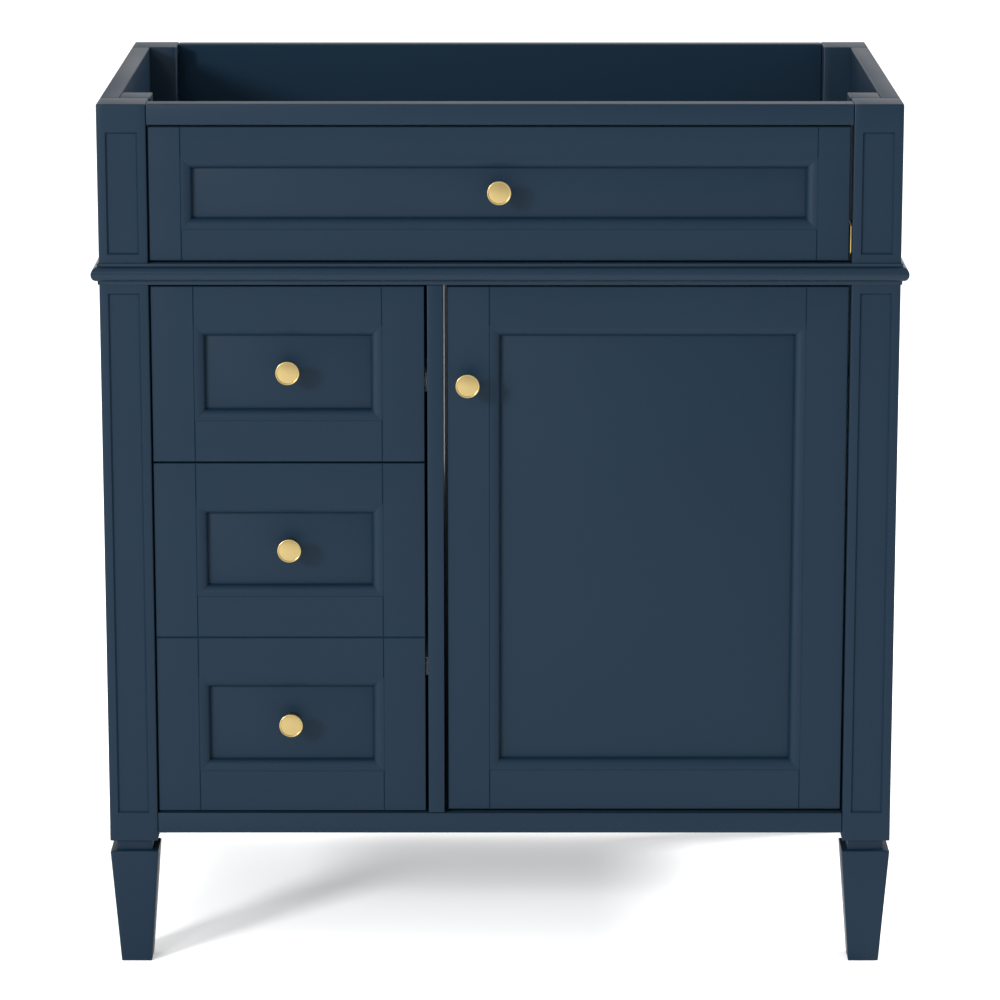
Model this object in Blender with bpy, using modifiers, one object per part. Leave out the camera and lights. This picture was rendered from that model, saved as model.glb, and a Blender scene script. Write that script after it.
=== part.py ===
# Freestanding bathroom vanity base: framed carcass on four tapered posts, a tip-out front over the
# basin space, one shallow and one deep drawer on the left and a door on the right.
# Metres, +Z up. The fronts face -Y. The origin is on the floor, under the middle of the whole part.
import bpy
import bmesh
from math import cos, pi, sin, sqrt
from mathutils import Vector

# Carcass. Depths (y) are counted from the front faces of the posts, towards the wall.
HALF_WIDTH = 0.375
DEPTH = 0.450
HEIGHT = 0.8380
FRONT_PLANE = -0.21535
GAP = 0.0003
POST_WIDTH = 0.046
POST_DEPTH = 0.043
REAR_POST_WIDTH = 0.045
NECK_INSET = 0.0058
NECK_BOTTOM = 0.1134
NECK_TOP = 0.1237
FOOT_SIDE = 0.0294
SIDE_THICK = 0.018
STRIP_WIDTH = 0.0287
STRIP_BACK = 0.079
RECESS_MARGIN = 0.008
RECESS_BEVEL = 0.003
RECESS_DEPTH = 0.0025
UPPER_RECESS = (0.6963, 0.8117)
LOWER_RECESS = (0.1517, 0.6596)

# Face frame, heights above the floor
TOP_RAIL = (0.8184, 0.8380)
WAIST_RAIL = (0.6680, 0.6883)
BOTTOM_RAIL = (0.1317, 0.1517)
RAIL_SETBACK = 0.0004
RAIL_BACK = 0.018
MULLION = (-0.0685, -0.0531)
FLOOR_TOP = 0.1517
FLOOR_THICK = 0.015
BACK_SETBACK = 0.0025
BACK_THICK = 0.016
BACK_RAIL_BOTTOM = 0.6900
BACK_PANEL_TOP = 0.390
PIPE_OPENING = (0.000, 0.260)

# Fronts: (left, right), (bottom, top), set-back of the face behind the posts
FRONT_THICK = 0.019
TIP_X, TIP_Z, TIP_FACE = (-0.3276, 0.3260), (0.6901, 0.8165), 0.003
UPPER_X, UPPER_Z, DRAWER_FACE = (-0.3276, -0.0710), (0.4974, 0.6659), 0.003
LOWER_Z = (0.1532, 0.4959)
SPLIT_Z = 0.3256
DOOR_X, DOOR_Z, DOOR_FACE = (-0.0496, 0.3272), (0.1541, 0.6653), 0.005
MOULDING_WIDTH = 0.0105
PANEL_DEPTH = 0.008
PANEL_THICK = 0.006
PANEL_LAP = 0.0045

# Hardware
KNOB_PROFILE = ((0, 0.0240), (0.0080, 0.0240), (0.0100, 0.0236), (0.0115, 0.0218), (0.0116, 0.0200),
                (0.0100, 0.0178), (0.0060, 0.0155), (0.0046, 0.0130), (0.0046, 0.0060), (0.0065, 0.0030),
                (0.0070, 0), (0, 0))
CUP_PROFILE = ((0.0118, 0.0014), (0.0155, 0.0014), (0.0155, 0), (0.0130, 0), (0.0130, -0.0105),
               (0, -0.0105), (0, -0.0095), (0.0118, -0.0095), (0.0118, 0.0014))
CUP_INSET = 0.0170
KNOB_LIFT = 0.0032
HINGE_HEIGHTS = {"bottom": 0.243, "top": 0.577}
SLIDE_HEIGHT = 0.0184
SLIDE_Y = (0.026, 0.326)
SLIDE_UPPER_Z = 0.5696
SLIDE_LOWER_Z = 0.291
SLIDE_THICK = 0.0127
BOX_WALL = 0.012
BOX_BACK = 0.342
UPPER_BOX_Z = (0.514, 0.640)
LOWER_BOX_Z = (0.171, 0.439)
TRAY_HALF = 0.240
TRAY_Z = (0.697, 0.790)

# base colour, roughness, metallic
FINISHES = {
    "navy_paint": ((0.027, 0.048, 0.076), 0.42, 0.0),
    "brass": ((0.69, 0.52, 0.22), 0.30, 1.0),
    "zinc": ((0.62, 0.63, 0.63), 0.38, 1.0),
    "white_enamel": ((0.80, 0.80, 0.77), 0.35, 0.0),
    "birch": ((0.62, 0.46, 0.29), 0.55, 0.0),
    "white_plastic": ((0.78, 0.78, 0.76), 0.45, 0.0),
}

parts = None
cutters = None


def clear_scene():
    for thing in list(bpy.data.objects):
        bpy.data.objects.remove(thing, do_unlink=True)


def new_collection(name):
    collection = bpy.data.collections.new(name)
    bpy.context.scene.collection.children.link(collection)
    return collection


def finish_material(name, kind):
    """A Principled material of the piece's own, in one of the finishes."""
    colour, roughness, metallic = FINISHES[kind]
    material = bpy.data.materials.new(name + "_" + kind)
    material.use_nodes = True
    shader = material.node_tree.nodes["Principled BSDF"]
    shader.inputs["Base Color"].default_value = (*colour, 1)
    shader.inputs["Roughness"].default_value = roughness
    shader.inputs["Metallic"].default_value = metallic
    material.diffuse_color = (*colour, 1)
    return material


def pivot(name, parent, where):
    """An empty on a joint's axis; where is in the cabinet's own frame."""
    empty = bpy.data.objects.new(name, None)
    empty.empty_display_size = 0.03
    parts.objects.link(empty)
    empty.parent = parent
    base = Vector(parent["where"]) if parent else Vector((0, 0, 0))
    empty.location = Vector(where) - base
    empty["where"] = Vector(where) if parent else Vector((0, 0, 0))
    return empty


def add_object(name, mesh, group, where, kind):
    thing = bpy.data.objects.new(name, mesh)
    thing.parent = group
    thing.location = Vector(where) - Vector(group["where"])
    if kind is None:
        cutters.objects.link(thing)
        thing.hide_render = True
        thing.display_type = "WIRE"
        return thing
    parts.objects.link(thing)
    mesh.materials.append(finish_material(name, kind))
    return thing


def settle(name, shape, group, kind):
    """Put the shape's origin at its middle and place it there."""
    low = Vector([min(v.co[i] for v in shape.verts) for i in range(3)])
    high = Vector([max(v.co[i] for v in shape.verts) for i in range(3)])
    middle = (low + high) / 2
    bmesh.ops.translate(shape, verts=shape.verts, vec=-middle)
    bmesh.ops.recalc_face_normals(shape, faces=shape.faces)
    mesh = bpy.data.meshes.new(name)
    shape.to_mesh(mesh)
    shape.free()
    return add_object(name, mesh, group, middle, kind)


def board(name, group, x, y, z, kind="navy_paint"):
    """A rectangular board between pairs of x, y and z."""
    shape = bmesh.new()
    bmesh.ops.create_cube(shape, size=1)
    size = (x[1] - x[0], y[1] - y[0], z[1] - z[0])
    middle = ((x[0] + x[1]) / 2, (y[0] + y[1]) / 2, (z[0] + z[1]) / 2)
    bmesh.ops.scale(shape, verts=shape.verts, vec=size)
    bmesh.ops.translate(shape, verts=shape.verts, vec=middle)
    return settle(name, shape, group, kind)


def prism(name, group, outline, axis, span, kind="navy_paint", mitre=0):
    """An outline run along an axis. With a mitre, each end slopes outwards by the outline's own reach."""
    order = {"x": lambda t, a, b: (t, a, b), "y": lambda t, a, b: (a, t, b), "z": lambda t, a, b: (a, b, t)}
    to_point = order[axis]
    shape = bmesh.new()
    near = [shape.verts.new(to_point(span[0], a, b)) for a, b in outline]
    face = shape.faces.new(near)
    grown = bmesh.ops.extrude_face_region(shape, geom=[face])
    far = [v for v in grown["geom"] if isinstance(v, bmesh.types.BMVert)]
    step = Vector(to_point(span[1], 0, 0)) - Vector(to_point(span[0], 0, 0))
    bmesh.ops.translate(shape, verts=far, vec=step)
    if mitre:
        mitre(near, far)
    return settle(name, shape, group, kind)


def rectangles(name, group, rings, axis="z", kind="navy_paint"):
    """A loft through rectangles: each ring is (distance along the axis, (a0, a1), (b0, b1))."""
    shape = bmesh.new()
    loops = []
    for t, a, b in rings:
        corners = ((a[0], b[0]), (a[1], b[0]), (a[1], b[1]), (a[0], b[1]))
        points = [(p, q, t) if axis == "z" else (p, t, q) for p, q in corners]
        loops.append([shape.verts.new(point) for point in points])
    for low, high in zip(loops, loops[1:]):
        for k in range(4):
            shape.faces.new((low[k], low[(k + 1) % 4], high[(k + 1) % 4], high[k]))
    shape.faces.new(loops[0])
    shape.faces.new(loops[-1])
    return settle(name, shape, group, kind)


def cut(piece, cutter):
    modifier = piece.modifiers.new(cutter.name, "BOOLEAN")
    modifier.operation = "DIFFERENCE"
    modifier.solver = "EXACT"
    modifier.object = cutter


def turned(name, group, profile, where, turn_x, kind):
    """A profile of (radius, height) turned about its own z, tipped over about x, and placed."""
    mesh = bpy.data.meshes.new(name)
    points = [(radius, 0, height) for radius, height in profile]
    mesh.from_pydata(points, [(k, k + 1) for k in range(len(points) - 1)], [])
    piece = add_object(name, mesh, group, where, kind)
    piece.rotation_euler = (turn_x, 0, 0)
    screw = piece.modifiers.new("turning", "SCREW")
    screw.axis = "Z"
    screw.angle = 2 * pi
    screw.steps = 28
    screw.render_steps = 28
    screw.use_merge_vertices = True
    screw.merge_threshold = 0.00005
    screw.use_smooth_shade = True
    return piece


def grow(span, amount):
    return (span[0] - amount, span[1] + amount)


def corner_post(name, group, side, front):
    """A post that stands on its own tapered foot, with a neck cut in all round above the foot."""
    width = POST_WIDTH if front else REAR_POST_WIDTH
    x = sorted((side * HALF_WIDTH, side * (HALF_WIDTH - width)))
    y = (0, POST_DEPTH) if front else (DEPTH - POST_DEPTH, DEPTH)
    foot_x = (width - FOOT_SIDE) / 2
    foot_y = (POST_DEPTH - FOOT_SIDE) / 2
    rings = [
        (0, grow(x, -foot_x), grow(y, -foot_y)),
        (NECK_BOTTOM, x, y),
        (NECK_BOTTOM, grow(x, -NECK_INSET), grow(y, -NECK_INSET)),
        (NECK_TOP, grow(x, -NECK_INSET), grow(y, -NECK_INSET)),
        (NECK_TOP, x, y),
        (HEIGHT, x, y),
    ]
    post = rectangles(name, group, rings)
    if front:
        for label, z in (("upper", UPPER_RECESS), ("lower", LOWER_RECESS)):
            across = grow(x, -RECESS_MARGIN)
            lean = RECESS_BEVEL / RECESS_DEPTH * 0.001
            rings = [
                (-0.001, grow(across, lean), grow(z, lean)),
                (RECESS_DEPTH, grow(across, -RECESS_BEVEL), grow(z, -RECESS_BEVEL)),
            ]
            cut(post, rectangles(name + "_" + label + "_recess", group, rings, "y", None))
    return post


def carcass_sides(group):
    for side, word in ((-1, "left"), (1, "right")):
        outer = side * HALF_WIDTH
        inner = side * (HALF_WIDTH - SIDE_THICK)
        run = (POST_DEPTH + GAP, DEPTH - POST_DEPTH - GAP)
        corner_post("post_front_" + word, group, side, True)
        corner_post("post_rear_" + word, group, side, False)
        board("side_panel_" + word, group, sorted((outer, inner)), run, (BOTTOM_RAIL[0], HEIGHT))
        strip = sorted((inner - side * GAP, inner - side * (GAP + STRIP_WIDTH)))
        board("corner_strip_" + word, group, strip, (POST_DEPTH + GAP, STRIP_BACK), (FLOOR_TOP + GAP, HEIGHT))


def face_frame(group):
    reach = HALF_WIDTH - POST_WIDTH - GAP
    across = (-reach, reach)
    rail_y = (RAIL_SETBACK, RAIL_BACK)
    board("top_rail_front", group, across, (RAIL_SETBACK, 0.021), TOP_RAIL)
    board("waist_rail_front", group, across, rail_y, WAIST_RAIL)
    board("bottom_rail_front", group, across, rail_y, BOTTOM_RAIL)
    board("mullion", group, MULLION, rail_y, (BOTTOM_RAIL[1] + GAP, WAIST_RAIL[0] - GAP))


def moulding_outline():
    """Waist moulding: a half-round bead between two low fillets; reach outwards, height."""
    low, high = WAIST_RAIL
    outline = [(0, low), (0.0010, low)]
    for k in range(13):
        angle = -pi / 2 + pi * k / 12
        outline.append((0.0010 + 0.0060 * cos(angle), low + 0.0103 + 0.0068 * sin(angle)))
    outline += [(0.0014, low + 0.0173), (0.0014, high), (0, high)]
    return outline


def waist_moulding(group):
    outline = moulding_outline()

    def front_mitre(near, far):
        for end, way in ((near, -1), (far, 1)):
            for vert in end:
                vert.co.x += way * (-vert.co.y - 2 * GAP)

    front = [(-GAP - out, z) for out, z in outline]
    prism("waist_moulding_front", group, front, "x", (-HALF_WIDTH, HALF_WIDTH), mitre=front_mitre)
    for side, word in ((-1, "left"), (1, "right")):

        def side_mitre(near, far):
            for vert in near:
                vert.co.y -= side * vert.co.x - HALF_WIDTH - 2 * GAP

        run = [(side * (HALF_WIDTH + GAP + out), z) for out, z in outline]
        prism("waist_moulding_" + word, group, run, "y", (0, DEPTH), mitre=side_mitre)


def carcass_inside(group):
    side = HALF_WIDTH - SIDE_THICK - GAP
    front_gap = HALF_WIDTH - POST_WIDTH - GAP
    rear_gap = HALF_WIDTH - REAR_POST_WIDTH - GAP
    back_y = (DEPTH - BACK_SETBACK - BACK_THICK, DEPTH - BACK_SETBACK)
    front_y = RAIL_BACK + GAP
    wide_y = (POST_DEPTH + GAP, DEPTH - POST_DEPTH - GAP)
    half = [(front_gap, front_y), (front_gap, wide_y[0]), (side, wide_y[0]), (side, wide_y[1])]
    half += [(rear_gap, wide_y[1]), (rear_gap, back_y[0] - GAP)]
    outline = half + [(-x, y) for x, y in reversed(half)]
    prism("floor_panel", group, outline, "z", (FLOOR_TOP - FLOOR_THICK, FLOOR_TOP))
    across = (-rear_gap, rear_gap)
    low, shoulder = FLOOR_TOP - FLOOR_THICK, BACK_RAIL_BOTTOM - GAP
    left, right = PIPE_OPENING
    outline = [(-rear_gap, low), (rear_gap, low), (rear_gap, shoulder), (right, shoulder), (right, BACK_PANEL_TOP)]
    outline += [(left, BACK_PANEL_TOP), (left, shoulder), (-rear_gap, shoulder)]
    prism("back_panel", group, outline, "y", back_y)
    board("back_rail_top", group, across, back_y, (BACK_RAIL_BOTTOM, HEIGHT))
    top = WAIST_RAIL[0] - GAP
    board("partition", group, MULLION, (front_y, back_y[0] - GAP), (FLOOR_TOP + GAP, top))
    lid_x = (-(side - STRIP_WIDTH - GAP), MULLION[0] - GAP)
    board("drawer_bay_top", group, lid_x, (DRAWER_FACE + FRONT_THICK + 0.0025, back_y[0] - GAP), (top - 0.012, top))
    cleat = sorted((-side, -(side - STRIP_WIDTH)))
    board("slide_cleat", group, cleat, (0.290, 0.326), (FLOOR_TOP + GAP, 0.621))


def frame_opening(name, group, frame, face, x, z, thick):
    """Cut one panel opening: a small quirk, a falling curve down to the panel, and a rebate behind.

    x and z are the moulding's outer edges. With t from 0 there to 1 at the panel, the depth is
    0.5 mm + 7.5 mm (1 - sqrt(1 - t^2.4)).
    """
    rings = [(face - 0.001, x, z)]
    for t in (0, 0.3, 0.5, 0.68, 0.84, 0.95, 1):
        depth = 0.0005 + 0.0075 * (1 - sqrt(1 - t ** 2.4))
        rings.append((face + depth, grow(x, -MOULDING_WIDTH * t), grow(z, -MOULDING_WIDTH * t)))
    back = PANEL_LAP + GAP - MOULDING_WIDTH
    rings.append((face + PANEL_DEPTH, grow(x, back), grow(z, back)))
    rings.append((face + thick + 0.001, grow(x, back), grow(z, back)))
    cut(frame, rectangles(name + "_opening", group, rings, "y", None))


def inset_panel(name, group, face, x, z):
    lap = PANEL_LAP - MOULDING_WIDTH
    y = (face + PANEL_DEPTH + GAP, face + PANEL_DEPTH + GAP + PANEL_THICK)
    return board(name, group, grow(x, lap), y, grow(z, lap))


def knob(name, group, x, y, z):
    return turned(name, group, KNOB_PROFILE, (x, y - GAP, z), pi / 2, "brass")


def tip_out_front(root):
    axis = pivot("tip_out_axis", root, (0, TIP_FACE + 0.001, TIP_Z[0] + 0.0007))
    back = TIP_FACE + FRONT_THICK
    frame = board("tip_out_frame", axis, TIP_X, (TIP_FACE, back), TIP_Z)
    x = grow(TIP_X, -0.030)
    z = grow(TIP_Z, -0.0294)
    frame_opening("tip_out_frame", axis, frame, TIP_FACE, x, z, FRONT_THICK)
    inset_panel("tip_out_panel", axis, TIP_FACE, x, z)
    middle = ((TIP_X[0] + TIP_X[1]) / 2, (TIP_Z[0] + TIP_Z[1]) / 2)
    knob("tip_out_knob", axis, middle[0], TIP_FACE + PANEL_DEPTH, middle[1] + KNOB_LIFT)
    low, high = TRAY_Z
    wall = 0.002
    across = (-TRAY_HALF, TRAY_HALF)
    start = back + GAP
    tray = rectangles("tip_out_tray", axis, [
        (low, across, (start, start + 0.036)),
        (high, across, (start, start + 0.042)),
    ], kind="white_plastic")
    inner = grow(across, -wall)
    hollow = rectangles("tip_out_tray_hollow", axis, [
        (low + wall, inner, (start + wall, start + 0.036 - wall)),
        (high + 0.001, inner, (start + wall, start + 0.042 - wall)),
    ], kind=None)
    cut(tray, hollow)
    for side, word in ((-1, "left"), (1, "right")):
        edge = side * 0.3248
        outline = [(edge, start), (edge, 0.060), (edge - side * 0.0015, 0.060), (edge - side * 0.0015, start + 0.0015),
                   (edge - side * 0.020, start + 0.0015), (edge - side * 0.020, start)]
        prism("tip_out_bracket_" + word, axis, outline, "z", (0.693, 0.722), "zinc")
        face = HALF_WIDTH - POST_WIDTH - GAP
        plate = sorted((side * face, side * (face - 0.0015)))
        plate_front = 0.006 if side > 0 else back + 3 * GAP
        board("tip_out_plate_" + word, root, plate, (plate_front, 0.042), (0.695, 0.724), "brass")


def cupboard_door(root):
    axis = pivot("door_axis", root, (DOOR_X[1], DOOR_FACE, DOOR_Z[0]))
    back = DOOR_FACE + FRONT_THICK
    frame = board("door_frame", axis, DOOR_X, (DOOR_FACE, back), DOOR_Z)
    x = grow(DOOR_X, -0.0398)
    z = (DOOR_Z[0] + 0.0391, DOOR_Z[1] - 0.0376)
    frame_opening("door_frame", axis, frame, DOOR_FACE, x, z, FRONT_THICK)
    inset_panel("door_panel", axis, DOOR_FACE, x, z)
    knob("door_knob", axis, DOOR_X[0] + 0.0192, DOOR_FACE, DOOR_Z[1] - 0.0908)
    edge = HALF_WIDTH - SIDE_THICK - GAP - STRIP_WIDTH - GAP
    for word, height in HINGE_HEIGHTS.items():
        centre = DOOR_X[1] - CUP_INSET
        bore = turned("door_bore_" + word, axis, ((0, 0.003), (0.0133, 0.003), (0.0133, -0.0108), (0, -0.0108)),
                      (centre, back, height), -pi / 2, None)
        cut(frame, bore)
        turned("door_hinge_cup_" + word, axis, CUP_PROFILE, (centre, back + GAP, height), -pi / 2, "zinc")
        outline = [(edge, 0.045), (edge, 0.077), (edge - 0.002, 0.077), (edge - 0.002, 0.070), (0.316, 0.066),
                   (0.303, 0.036), (0.303, 0.0265), (0.314, 0.0265), (0.322, 0.045)]
        prism("door_hinge_arm_" + word, root, outline, "z", (height - 0.008, height + 0.008), "zinc")


def channel(name, group, wall_x, way, height, kind):
    """Fixed half of a slide: a channel on the wall, open towards the drawer."""
    half = SLIDE_HEIGHT / 2
    near = wall_x + way * GAP
    web = near + way * 0.0012
    lip = near + way * 0.0094
    outline = [(near, height - half), (near, height + half), (lip, height + half), (lip, height + half - 0.0012),
               (web, height + half - 0.0012), (web, height - half + 0.0012), (lip, height - half + 0.0012),
               (lip, height - half)]
    return prism(name, group, outline, "y", SLIDE_Y, kind)


def runner(name, group, wall_x, way, height, kind):
    """Moving half of a slide: a bar in the channel with a flange along the drawer's side."""
    half = SLIDE_HEIGHT / 2 - 0.0018
    inner = wall_x + way * 0.0020
    step = wall_x + way * 0.0108
    outer = wall_x + way * (SLIDE_THICK - GAP)
    outline = [(inner, height - half), (inner, height + half), (step, height + half), (step, height + half + 0.002),
               (outer, height + half + 0.002), (outer, height - half - 0.002), (step, height - half - 0.002),
               (step, height - half)]
    return prism(name, group, outline, "y", SLIDE_Y, kind)


def drawer(root, name, face_z, openings, box_z, slide_z):
    axis = pivot(name + "_axis", root, ((UPPER_X[0] + UPPER_X[1]) / 2, DRAWER_FACE, (face_z[0] + face_z[1]) / 2))
    back = DRAWER_FACE + FRONT_THICK
    frame = board(name + "_frame", axis, UPPER_X, (DRAWER_FACE, back), face_z)
    x = grow(UPPER_X, -0.040)
    for word, z in openings:
        frame_opening(name + "_frame" + word, axis, frame, DRAWER_FACE, x, z, FRONT_THICK)
        inset_panel(name + "_panel" + word, axis, DRAWER_FACE, x, z)
        middle = (z[0] + z[1]) / 2 + KNOB_LIFT
        knob(name + "_knob" + word, axis, (x[0] + x[1]) / 2, DRAWER_FACE + PANEL_DEPTH, middle)
    left = -(HALF_WIDTH - SIDE_THICK - GAP - STRIP_WIDTH)
    right = MULLION[0]
    wall_left = left + SLIDE_THICK
    wall_right = right - SLIDE_THICK
    run = (back + GAP, BOX_BACK)
    board(name + "_side_left", axis, (wall_left, wall_left + BOX_WALL), run, box_z, "birch")
    board(name + "_side_right", axis, (wall_right - BOX_WALL, wall_right), run, box_z, "birch")
    inside = (wall_left + BOX_WALL + GAP, wall_right - BOX_WALL - GAP)
    bottom = (box_z[0] + 0.008, box_z[0] + 0.014)
    board(name + "_bottom", axis, inside, run, bottom, "birch")
    board(name + "_back", axis, inside, (BOX_BACK - BOX_WALL, BOX_BACK), (bottom[1] + GAP, box_z[1] - 0.006), "birch")
    for wall_x, way, word in ((left, 1, "left"), (right, -1, "right")):
        channel(name + "_channel_" + word, root, wall_x, way, slide_z, "white_enamel")
        runner(name + "_runner_" + word, axis, wall_x, way, slide_z, "white_enamel")
    return frame, axis


def false_split(frame, group):
    """V-groove across the deep front, so that it reads as two."""
    y = DRAWER_FACE
    outline = [(y - 0.0005, SPLIT_Z - 0.0014), (y - 0.0005, SPLIT_Z + 0.0014), (y + 0.0016, SPLIT_Z)]
    cut(frame, prism("drawer_lower_split", group, outline, "x", grow(UPPER_X, 0.001), None))


def build():
    global parts, cutters
    clear_scene()
    parts = new_collection("bathroom_vanity_cabinet")
    cutters = new_collection("cutters")
    root = pivot("cabinet", None, (0, FRONT_PLANE, 0))
    carcass_sides(root)
    face_frame(root)
    waist_moulding(root)
    carcass_inside(root)
    tip_out_front(root)
    cupboard_door(root)
    upper = [("", (UPPER_Z[0] + 0.0394, UPPER_Z[1] - 0.0378))]
    drawer(root, "drawer_upper", UPPER_Z, upper, UPPER_BOX_Z, SLIDE_UPPER_Z)
    lower = [("_top", (SPLIT_Z + 0.0402, LOWER_Z[1] - 0.0397)), ("_low", (LOWER_Z[0] + 0.0397, SPLIT_Z - 0.0399))]
    frame, axis = drawer(root, "drawer_lower", LOWER_Z, lower, LOWER_BOX_Z, SLIDE_LOWER_Z)
    false_split(frame, axis)


build()
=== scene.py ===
# Painted bathroom vanity base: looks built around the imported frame.
# Every finished piece has its place in its mesh, in metres; x to the right, y towards the wall, z up.
import math

import bpy
import numpy as np
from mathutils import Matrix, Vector


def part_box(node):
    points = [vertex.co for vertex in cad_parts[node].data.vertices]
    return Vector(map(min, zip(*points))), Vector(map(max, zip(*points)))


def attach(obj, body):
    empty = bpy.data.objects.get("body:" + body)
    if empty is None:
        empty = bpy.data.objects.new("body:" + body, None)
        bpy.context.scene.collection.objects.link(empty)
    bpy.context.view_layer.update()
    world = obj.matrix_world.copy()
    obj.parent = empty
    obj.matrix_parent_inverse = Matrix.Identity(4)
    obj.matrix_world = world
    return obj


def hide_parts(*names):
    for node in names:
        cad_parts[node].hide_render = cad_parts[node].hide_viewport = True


# Carcass
EASE = 0.0011  # radius that sanding and paint leave on a board's edge
ARC_STEPS = 4  # points on the arc of an eased edge
FIT = 0.0003  # gap left where two boards meet
FRONT_PLANE = -0.21535  # face of the door and the drawers
HALF_WIDTH = 0.375  # from the middle to a post's outer side
INSIDE_HALF_WIDTH = 0.3575  # from the middle to a side panel's inner side
RIM_HEIGHT = 0.838
PIPE_OPENING_LEFT, PIPE_OPENING_RIGHT, PIPE_OPENING_BOTTOM = 0, 0.260, 0.390

# Posts: a neck parts each one from its tapered foot, and the front ones have two recesses (bottom, top)
NECK_BOTTOM, NECK_TOP, NECK_INSET, FOOT_SIDE = 0.1134, 0.1237, 0.0058, 0.0294
RECESSES = ((0.1517, 0.6596), (0.6963, 0.8117))
RECESS_MARGIN, RECESS_BEVEL, RECESS_DEPTH = 0.0080, 0.0016, 0.0021

# Framed fronts: the sticking is the moulded inner edge of a frame, down to its sunk panel
STICKING_WIDTH = 0.0105
STICKING_LIP, STICKING_FALL, STICKING_POWER = 0.0005, 0.0075, 2.4
PANEL_DEPTH = 0.0080
PANEL_TONGUE = 0.0045  # how far a panel runs in behind the sticking
PANEL_CLEARANCE = 0.0048  # how far the frame's back is cut away for that
JOINT_HALF, JOINT_DEPTH = 0.0007, 0.0007  # fine V where a rail meets a stile
SPLIT_HALF, SPLIT_DEPTH = 0.0011, 0.0012  # scored line across the deep drawer's front
SPLIT_HEIGHT = 0.3256
BORE_RADIUS, BORE_DEPTH = 0.0140, 0.0112  # hole for a hinge cup
BORE_REACH = 0.0155  # how far the finer grid lines run round a bore
CUP_DEPTH = 0.0105
HAIR = 2e-5  # step across which a depth changes at once

DULL = 0.95  # roughness where little spray lands


def linear(hex_colour):
    """sRGB hex to linear RGBA: c / 12.92 below 0.04045, else ((c + 0.055) / 1.055) ** 2.4."""
    value = hex_colour.lstrip("#")
    channels = [int(value[k:k + 2], 16) / 255 for k in (0, 2, 4)]
    return tuple(c / 12.92 if c <= 0.04045 else ((c + 0.055) / 1.055) ** 2.4 for c in channels) + (1.0,)


def add_node(tree, kind, inputs=None, **settings):
    """Add one node: settings are its own properties, inputs are values or output sockets for its inputs."""
    made = tree.nodes.new(kind)
    for name, value in settings.items():
        setattr(made, name, value)
    for name, value in (inputs or {}).items():
        socket = made.inputs[name]
        if isinstance(value, bpy.types.NodeSocket):
            tree.links.new(value, socket)
        else:
            socket.default_value = value
    return made


def new_material(name, **shader_inputs):
    """A material with one Principled shader, whose constant values are set on its own sockets."""
    material = bpy.data.materials.new(name)
    material.use_nodes = True
    tree = material.node_tree
    shader = tree.nodes["Principled BSDF"]
    for key, value in shader_inputs.items():
        shader.inputs[key.replace("_", " ")].default_value = value
    return material, tree, shader


def sprayed_paint(name, roughness, shine=0.12, dull_zone=(), colour="#0d1f2d", dark="#0c1d2b"):
    """Satin polyurethane paint sprayed on sanded MDF.

    A fine orange peel about 1.5 mm across breaks the reflections up a little, a slow drift in
    roughness about 170 mm across shows where the spray lay thicker, and the colour drifts by a shade.
    Shine is the specular level. Surfaces in the dull zone stay rough, because little spray reaches
    them: its rows (axis, operation, limit) all have to hold, and "across" is the distance from x = 0.
    """
    material, tree, shader = new_material(name, Specular_IOR_Level=shine)
    place = add_node(tree, "ShaderNodeTexCoord").outputs["Object"]
    drift = add_node(tree, "ShaderNodeTexNoise", {"Vector": place, "Scale": 6.0, "Detail": 3.0})
    tint = add_node(tree, "ShaderNodeMix", {"Factor": drift.outputs["Fac"]}, data_type="RGBA")
    tint.inputs["A"].default_value = linear(dark)
    tint.inputs["B"].default_value = linear(colour)
    tree.links.new(tint.outputs["Result"], shader.inputs["Base Color"])
    gloss = add_node(tree, "ShaderNodeMapRange", {
        "Value": drift.outputs["Fac"], "From Min": 0.3, "From Max": 0.7,
        "To Min": roughness - 0.03, "To Max": roughness + 0.03}).outputs["Result"]
    if dull_zone:
        axes = add_node(tree, "ShaderNodeSeparateXYZ", {"Vector": place}).outputs
        across = add_node(tree, "ShaderNodeMath", {0: axes["X"]}, operation="ABSOLUTE").outputs[0]
        inside = 1.0
        for axis, operation, limit in dull_zone:
            value = across if axis == "across" else axes[axis]
            test = add_node(tree, "ShaderNodeMath", {0: value, 1: limit}, operation=operation).outputs[0]
            inside = add_node(tree, "ShaderNodeMath", {0: inside, 1: test}, operation="MULTIPLY").outputs[0]
        gloss = add_node(tree, "ShaderNodeMapRange", {
            "Value": inside, "To Min": gloss, "To Max": DULL}).outputs["Result"]
    tree.links.new(gloss, shader.inputs["Roughness"])
    peel = add_node(tree, "ShaderNodeTexNoise", {"Vector": place, "Scale": 650.0, "Detail": 2.0})
    bump = add_node(tree, "ShaderNodeBump", {
        "Height": peel.outputs["Fac"], "Strength": 0.05, "Distance": 0.0004})
    tree.links.new(bump.outputs["Normal"], shader.inputs["Normal"])
    return material


def behind_the_front(reach):
    """Dull zone between the sides, from the posts' necks up to the rim, further back than the gun's reach."""
    return (("across", "LESS_THAN", INSIDE_HALF_WIDTH), ("Y", "GREATER_THAN", FRONT_PLANE + reach),
            ("Z", "LESS_THAN", RIM_HEIGHT - 0.001), ("Z", "GREATER_THAN", NECK_TOP + 0.002))


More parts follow.
